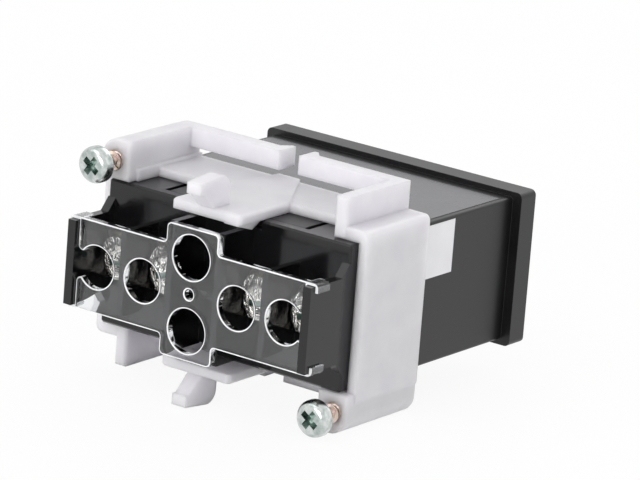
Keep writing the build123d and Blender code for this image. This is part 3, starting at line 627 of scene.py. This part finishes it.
def screw_head(radius, height, crown, recess_turn):
    """A pan head that stands on y = 0, with a tapered cross recess."""
    bpy.ops.mesh.primitive_cylinder_add(
        vertices=HEAD_SIDES,
        radius=radius,
        depth=height,
        location=(0, height / 2, 0),
        rotation=(math.pi / 2, 0, 0),
    )
    head = settle(bpy.context.active_object)
    edit_faces(head, lambda centre, normal: normal.y > HEAD_CAP)
    bpy.ops.mesh.bevel(offset=crown, segments=CROWN_STEPS, profile=0.5, affect="EDGES")
    edit_faces(head, lambda centre, normal: normal.y < -HEAD_CAP)
    bpy.ops.mesh.bevel(offset=FOOT_ROUND, segments=FOOT_STEPS, affect="EDGES")
    bpy.ops.object.mode_set(mode="OBJECT")
    for quarter in (0, math.pi / 2):
        arm = driver_arm(height, recess_turn + quarter)
        cut = head.modifiers.new("Recess", "BOOLEAN")
        cut.operation = "DIFFERENCE"
        cut.solver = "EXACT"
        cut.object = arm
        settle(head)
        bpy.data.objects.remove(arm)
    print("a head of", round(2 * radius / MM, 1), "mm has", len(head.data.polygons), "faces")
    return head


# %% [markdown]
# ### Plated finishes
# Zinc and nickel are plated in a rotating barrel, where the small parts knock against
# each other. That leaves a bright surface with soft dents, which breaks reflections up.
# A coarse noise turns the colour and the gloss by small steps, and a finer one gives the
# dents. The thread of the jack screws shows the pink and straw tint of passivated zinc.
# The walls inside a cross are painted darker and greener than the head: a painted shade
# for the little light that gets in there.

# %% Plated finishes
PATCHES = 1.2 * MM
GLOSS_SWING = 0.4  # how far the roughness goes up and down, as a share of it


def plated(name, dark, light, roughness, dent, relief=0.02 * MM):
    """Plated metal: bright, in slightly different patches, with dents of the given width
    and relief."""
    material, tree, shader, place = start_material(name, Metallic=1.0)
    patches = add_node(
        tree, "ShaderNodeTexNoise", {"Scale": 1 / PATCHES, "Detail": 4.0}, {"Vector": place}
    )
    ramp = add_node(
        tree,
        "ShaderNodeValToRGB",
        links={"Fac": patches.outputs["Fac"]},
        stops=((0.35, dark), (0.65, light)),
    )
    tree.links.new(ramp.outputs["Color"], shader.inputs["Base Color"])
    dents = add_node(
        tree,
        "ShaderNodeTexNoise",
        {"Scale": 1 / dent, "Detail": 3.0, "Roughness": 0.7},
        {"Vector": place},
    )
    gloss = add_node(
        tree,
        "ShaderNodeMapRange",
        {"To Min": roughness * (1 - GLOSS_SWING), "To Max": roughness * (1 + GLOSS_SWING)},
        {"Value": patches.outputs["Fac"]},
    )
    bump = add_node(
        tree,
        "ShaderNodeBump",
        {"Strength": 1.0, "Distance": relief},
        {"Height": dents.outputs["Fac"]},
    )
    tree.links.new(gloss.outputs[0], shader.inputs["Roughness"])
    tree.links.new(bump.outputs[0], shader.inputs["Normal"])
    return material


zinc = plated("zinc_plated_steel", "#a9b3b0", "#d8dcda", roughness=0.22, dent=0.6 * MM)
passivated = plated(
    "passivated_zinc_thread", "#c2b39a", "#e6d2d2", roughness=0.20, dent=0.5 * MM
)
# darker, greener zinc: the painted shade on the walls inside a cross
cross_shade_paint = plated("zinc_with_painted_shade_in_the_cross", "#7d938b", "#c0ccc7", roughness=0.30, dent=0.4 * MM)
nickel = plated(
    "nickel_plated_steel",
    "#c9c6bf",
    "#eeece8",
    roughness=0.14,
    dent=0.8 * MM,
    relief=0.35 * MM,
)
print("plated finishes:", [finish.name for finish in (zinc, passivated, cross_shade_paint, nickel)])

# %% [markdown]
# ### Making and placing the screws
# The two jack screws are 3 mm thick with a coarse thread for plastic. The four terminal
# screws are M3.5, with lower heads. Each kind is made once on the Y axis and copied to
# where its CAD screw stands, so the CAD box of that node gives the axis and the top of
# the head. Head, thread and the inside of the cross are told apart by their place.

# %% Making and placing a screw
SCREW_SMOOTHING = math.radians(35)
CROWN_ZONE = 0.4 * MM  # height of the top of the head, where only steep walls are the cross
STEEP = 0.6
CROSS_SLACK = 0.05 * MM


def paint_screw(screw, head_height):
    """Head, thread and the inside of the cross take the first, second and third finish. The third
    is the painted shade inside the cross.
    """
    for face in screw.data.polygons:
        centre, normal = face.center, face.normal
        # the faces inside the cross, which take the painted shade
        sunk = centre.y < head_height - CROWN_ZONE or abs(normal.y) < STEEP
        middle = math.hypot(centre.x, centre.z) < CROSS_SPAN / 2 + CROSS_SLACK
        if centre.y < 0:
            face.material_index = 1
        elif middle and sunk and centre.y > BURIED:
            face.material_index = 2


def make_screw(node, finishes, head_height, crown, radius, pitch, depth, recess_turn):
    """A whole screw on the Y axis with its head on y = 0, sized from its CAD node."""
    low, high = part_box(node)
    length = high.y - head_height - low.y
    head = screw_head((high.x - low.x) / 2, head_height, crown, recess_turn)
    shank = threaded_shank(radius, pitch, depth, length)
    select_only(head, shank)
    bpy.ops.object.join()
    select_only(head)
    bpy.ops.object.shade_smooth_by_angle(angle=SCREW_SMOOTHING)
    for finish in finishes:
        head.data.materials.append(finish)
    paint_screw(head, head_height)
    return head


def place_screw(pattern, node, body, head_height):
    """Puts a copy of a made screw where the CAD screw stands."""
    low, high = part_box(node)
    piece = copy_piece(pattern, node + "_threaded")
    piece.location = ((low.x + high.x) / 2, high.y - head_height, (low.z + high.z) / 2)
    settle(piece)
    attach(piece, body)
    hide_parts(node)


print("smooth up to", round(math.degrees(SCREW_SMOOTHING)), "degrees between faces")

# %% [markdown]
# ### The six screws
# The crosses are turned as in the picture. The terminal screws and their square clamp
# washers are nickel plated, with a deeper relief, so that their highlights break into
# the small bright flecks that are seen through the cover. The walls inside every cross
# take the painted shade.

# %% Jack screws and terminal screws
JACK_HEAD = 2.0 * MM
TERMINAL_HEAD = 1.9 * MM

pattern = make_screw(
    "jack_screw_upper",
    (zinc, passivated, cross_shade_paint),
    JACK_HEAD,
    crown=1.1 * MM,
    radius=1.5 * MM,
    pitch=1.2 * MM,
    depth=0.42 * MM,
    recess_turn=0.95,
)
for side in ("upper", "lower"):
    place_screw(pattern, f"jack_screw_{side}", f"jack_{side}", JACK_HEAD)
bpy.data.objects.remove(pattern)

pattern = make_screw(
    "terminal_screw_1",
    (nickel, nickel, cross_shade_paint),
    TERMINAL_HEAD,
    crown=0.7 * MM,
    radius=1.75 * MM,
    pitch=0.6 * MM,
    depth=0.35 * MM,
    recess_turn=0.3,
)
for number in range(1, 5):
    place_screw(
        pattern,
        f"terminal_screw_{number}",
        f"terminal_{number}",
        TERMINAL_HEAD,
    )
    dress(cad[f"clamp_washer_{number}"], nickel)
bpy.data.objects.remove(pattern)
print("six screws are in place")

# %% [markdown]
# ## Labels
# The film on top of the sleeve is grey polyester with a soft gloss. The label on the
# side is plain white paper, left bare. Paper has short fibres that lie in all
# directions, so its roughness and its tiny relief follow a fine noise.

# %% Labels
film = moulded(
    "grey_polyester_film",
    "#505055",
    "#5b5b61",
    grain=0.3 * MM,
    depth=0.001 * MM,
    roughness=0.22,
    spread=0.04,
)
paper = moulded(
    "white_paper",
    "#e6e6e9",
    "#ededef",
    grain=0.12 * MM,
    depth=0.004 * MM,
    roughness=0.55,
    spread=0.06,
)
dress(cad["label_top"], film)
dress(cad["label_side"], paper)
print("labels:", film.name, "and", paper.name)

# %% [markdown]
# ## Front: window, key and slider
# The front can't be seen in the picture and follows what such counters have: a clear
# window over the display, a grey reset key, and a small slider that locks it. The
# window is moulded acrylic, clear with the faintest green. Key and slider are ABS with a
# dull grain that hides finger marks.

# %% Front
window, tree, shader, place = start_material(
    "clear_acrylic_window", IOR=1.49, Transmission_Weight=1.0, Roughness=0.03
)
ripple = add_node(tree, "ShaderNodeTexNoise", {"Scale": 1 / (12 * MM)}, {"Vector": place})
ramp = add_node(
    tree,
    "ShaderNodeValToRGB",
    links={"Fac": ripple.outputs["Fac"]},
    stops=((0.3, "#f0f4f3"), (0.7, "#f8faf9")),
)
tree.links.new(ramp.outputs["Color"], shader.inputs["Base Color"])
dress(cad["window_lens"], window)
grey = moulded(
    "textured_grey_abs",
    "#8f9296",
    "#9a9da1",
    grain=0.2 * MM,
    depth=0.006 * MM,
    roughness=0.45,
    spread=0.05,
)
dress(cad["reset_key"], grey)
dress(cad["lock_slider"], grey)
low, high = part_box("window_lens")
print("window:", round((high.x - low.x) / MM, 1), "x", round((high.z - low.z) / MM, 1), "mm")

# %% [markdown]
# ## The display
# A reflective liquid crystal panel is a grey-green sheet behind a polariser. The eye sees
# a matt ground with a very fine mottle, which comes from the reflector foil behind it.

# %% Display panel
panel, tree, shader, place = start_material("reflective_lcd", Roughness=0.3)
mottle = add_node(
    tree, "ShaderNodeTexNoise", {"Scale": 1 / (0.4 * MM), "Detail": 2.0}, {"Vector": place}
)
ramp = add_node(
    tree,
    "ShaderNodeValToRGB",
    links={"Fac": mottle.outputs["Fac"]},
    stops=((0.3, "#a3aa98"), (0.7, "#adb4a2")),
)
tree.links.new(ramp.outputs["Color"], shader.inputs["Base Color"])
dress(cad["lcd_glass"], panel)
low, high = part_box("lcd_glass")
DISPLAY_CENTRE = Vector(((low.x + high.x) / 2, low.y, (low.z + high.z) / 2))
print("display:", round((high.x - low.x) / MM, 1), "x", round((high.z - low.z) / MM, 1), "mm")

# %% [markdown]
# ### Digits
# Each digit is seven dark segments, of which a nought shows six. One segment is a flat
# six-sided bar with pointed ends, pulled to its length in edit mode. An upright and a
# flat one are made once and copied to the places of a nought, and the nought is repeated
# along the panel, as on a counter that has just been reset. The segments are real thin
# bars, so they stay sharp from close by. They look nearly black, with a little less ink
# here and there.

# %% Digits
DIGITS = 8
DIGIT_PITCH = 4.5 * MM
DIGIT_W = 2.7 * MM
DIGIT_H = 7.0 * MM
SEGMENT_T = 0.62 * MM
SEGMENT_GAP = 0.12 * MM
SEGMENT_FILM = 0.01 * MM
OFF_MIDDLE = 0.01 * MM


def segment(length, turn):
    """A flat bar with pointed ends, centred on the origin."""
    bpy.ops.mesh.primitive_cylinder_add(
        vertices=6, radius=0.5, depth=SEGMENT_FILM, rotation=(math.pi / 2, 0, 0)
    )
    bar = settle(bpy.context.active_object)
    across = max(v.co.z for v in bar.data.vertices) * 2
    bar.scale = (SEGMENT_T, 1, SEGMENT_T / across)
    settle(bar)
    for side in (-1, 1):
        edit_points(bar, lambda co: co.x * side > OFF_MIDDLE)
        bpy.ops.transform.translate(value=(side * (length - SEGMENT_T) / 2, 0, 0))
    bpy.ops.object.mode_set(mode="OBJECT")
    bar.rotation_euler = (0, turn, 0)
    return settle(bar)


upright = segment(DIGIT_H / 2 - SEGMENT_GAP, math.pi / 2)
flat = segment(DIGIT_W - SEGMENT_GAP, 0)
nought = [(upright, side * DIGIT_W / 2, end * DIGIT_H / 4) for side in (-1, 1) for end in (-1, 1)]
nought += [(flat, 0, end * DIGIT_H / 2) for end in (-1, 1)]
bars = []
for index in range(DIGITS):
    shift = (index - (DIGITS - 1) / 2) * DIGIT_PITCH
    for source, x, z in nought:
        bar = copy_piece(source, "segment")
        bar.location = DISPLAY_CENTRE + Vector((shift + x, -SEGMENT_FILM / 2, z))
        bars.append(settle(bar))
bpy.data.objects.remove(upright)
bpy.data.objects.remove(flat)
select_only(*bars)
bpy.ops.object.join()
digits = bpy.context.active_object
digits.name = "display_digits"
ink, tree, shader, place = start_material("liquid_crystal_segments", Roughness=0.35)
fade = add_node(tree, "ShaderNodeTexNoise", {"Scale": 1 / (2 * MM)}, {"Vector": place})
ramp = add_node(
    tree,
    "ShaderNodeValToRGB",
    links={"Fac": fade.outputs["Fac"]},
    stops=((0.3, "#1b1d1c"), (0.7, "#262927")),
)
tree.links.new(ramp.outputs["Color"], shader.inputs["Base Color"])
dress(digits, ink)
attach(digits, "case")
print("display has", len(bars), "segments")

# %% [markdown]
# ## What the housing hides
# The boards, the cell and the contacts are out of sight, but a reader who takes the
# model apart will look at them, so each has the finish of the real thing. A board is
# glass-fibre laminate under green solder resist, and the copper tracks below the resist
# show as lighter lines.

# %% Boards
resist, tree, shader, place = start_material("green_solder_resist", Roughness=0.35)
tracks = add_node(
    tree,
    "ShaderNodeTexBrick",
    {
        "Color1": hex_colour("#14592f"),
        "Color2": hex_colour("#175f33"),
        "Mortar": hex_colour("#2a7a45"),
        "Scale": 1 / (5 * MM),
        "Mortar Size": 0.03,
    },
    {"Vector": place},
)
tree.links.new(tracks.outputs["Color"], shader.inputs["Base Color"])
for node in ("display_board", "main_board"):
    dress(cad[node], resist)
print("boards:", resist.name)

# %% [markdown]
# ### Chips and rubber inside
# Chips are moulded epoxy with a dull, gritty skin. The elastomer strips are built of
# conducting and insulating layers about a tenth of a millimetre thick. That is too fine
# to show, so a dark and a light band together are drawn 1.26 mm wide here. A Wave texture
# of scale 1 repeats every tau / 20 metres, which gives the scale for that width.

# %% Chips and rubber inside
BAND_PAIR = 0.4 * math.pi * MM
WAVE_REPEAT = math.tau / 20

epoxy = moulded(
    "black_epoxy",
    "#161618",
    "#1d1d20",
    grain=0.1 * MM,
    depth=0.004 * MM,
    roughness=0.6,
    spread=0.05,
)
for node in ("counter_chip", "lock_switch"):
    dress(cad[node], epoxy)
rubber, tree, shader, place = start_material("layered_elastomer", Roughness=0.6)
layers = add_node(
    tree,
    "ShaderNodeTexWave",
    {"wave_type": "BANDS", "bands_direction": "X", "Scale": WAVE_REPEAT / BAND_PAIR},
    {"Vector": place},
)
ramp = add_node(
    tree,
    "ShaderNodeValToRGB",
    links={"Fac": layers.outputs["Fac"]},
    stops=((0.3, "#17171a"), (0.7, "#77777c")),
)
tree.links.new(ramp.outputs["Color"], shader.inputs["Base Color"])
for side in ("upper", "lower"):
    dress(cad[f"connector_strip_{side}"], rubber)
print("a dark and a light band take", round(BAND_PAIR / MM, 2), "mm")

# %% [markdown]
# ### Metal inside
# The cell's can and its tabs are nickel-plated sheet and the contact dome is stainless
# spring sheet, all with a plain bright surface. The tapped plates under the terminal
# screws are brass with a dull coat of tin, which looks grey with a warm tinge.

# %% Metal inside
brass = plated("tinned_brass", "#8f8778", "#a9a194", roughness=0.34, dent=0.7 * MM)
can = plated("nickel_plated_can", "#a8a8a6", "#c9c9c6", roughness=0.30, dent=0.5 * MM)
spring = plated("stainless_spring_sheet", "#b4b4b0", "#cfcfca", roughness=0.24, dent=0.5 * MM)
dress(cad["terminal_plates"], brass)
for node in ("lithium_cell", "cell_tab_minus", "cell_tab_plus"):
    dress(cad[node], can)
dress(cad["contact_dome"], spring)
print("inner finishes:", [finish.name for finish in (epoxy, rubber, brass, can, spring)])

# %% Sizes and finish
low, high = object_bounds()
print("visual box in mm:", [round(v / MM, 1) for v in (*low, *high)])
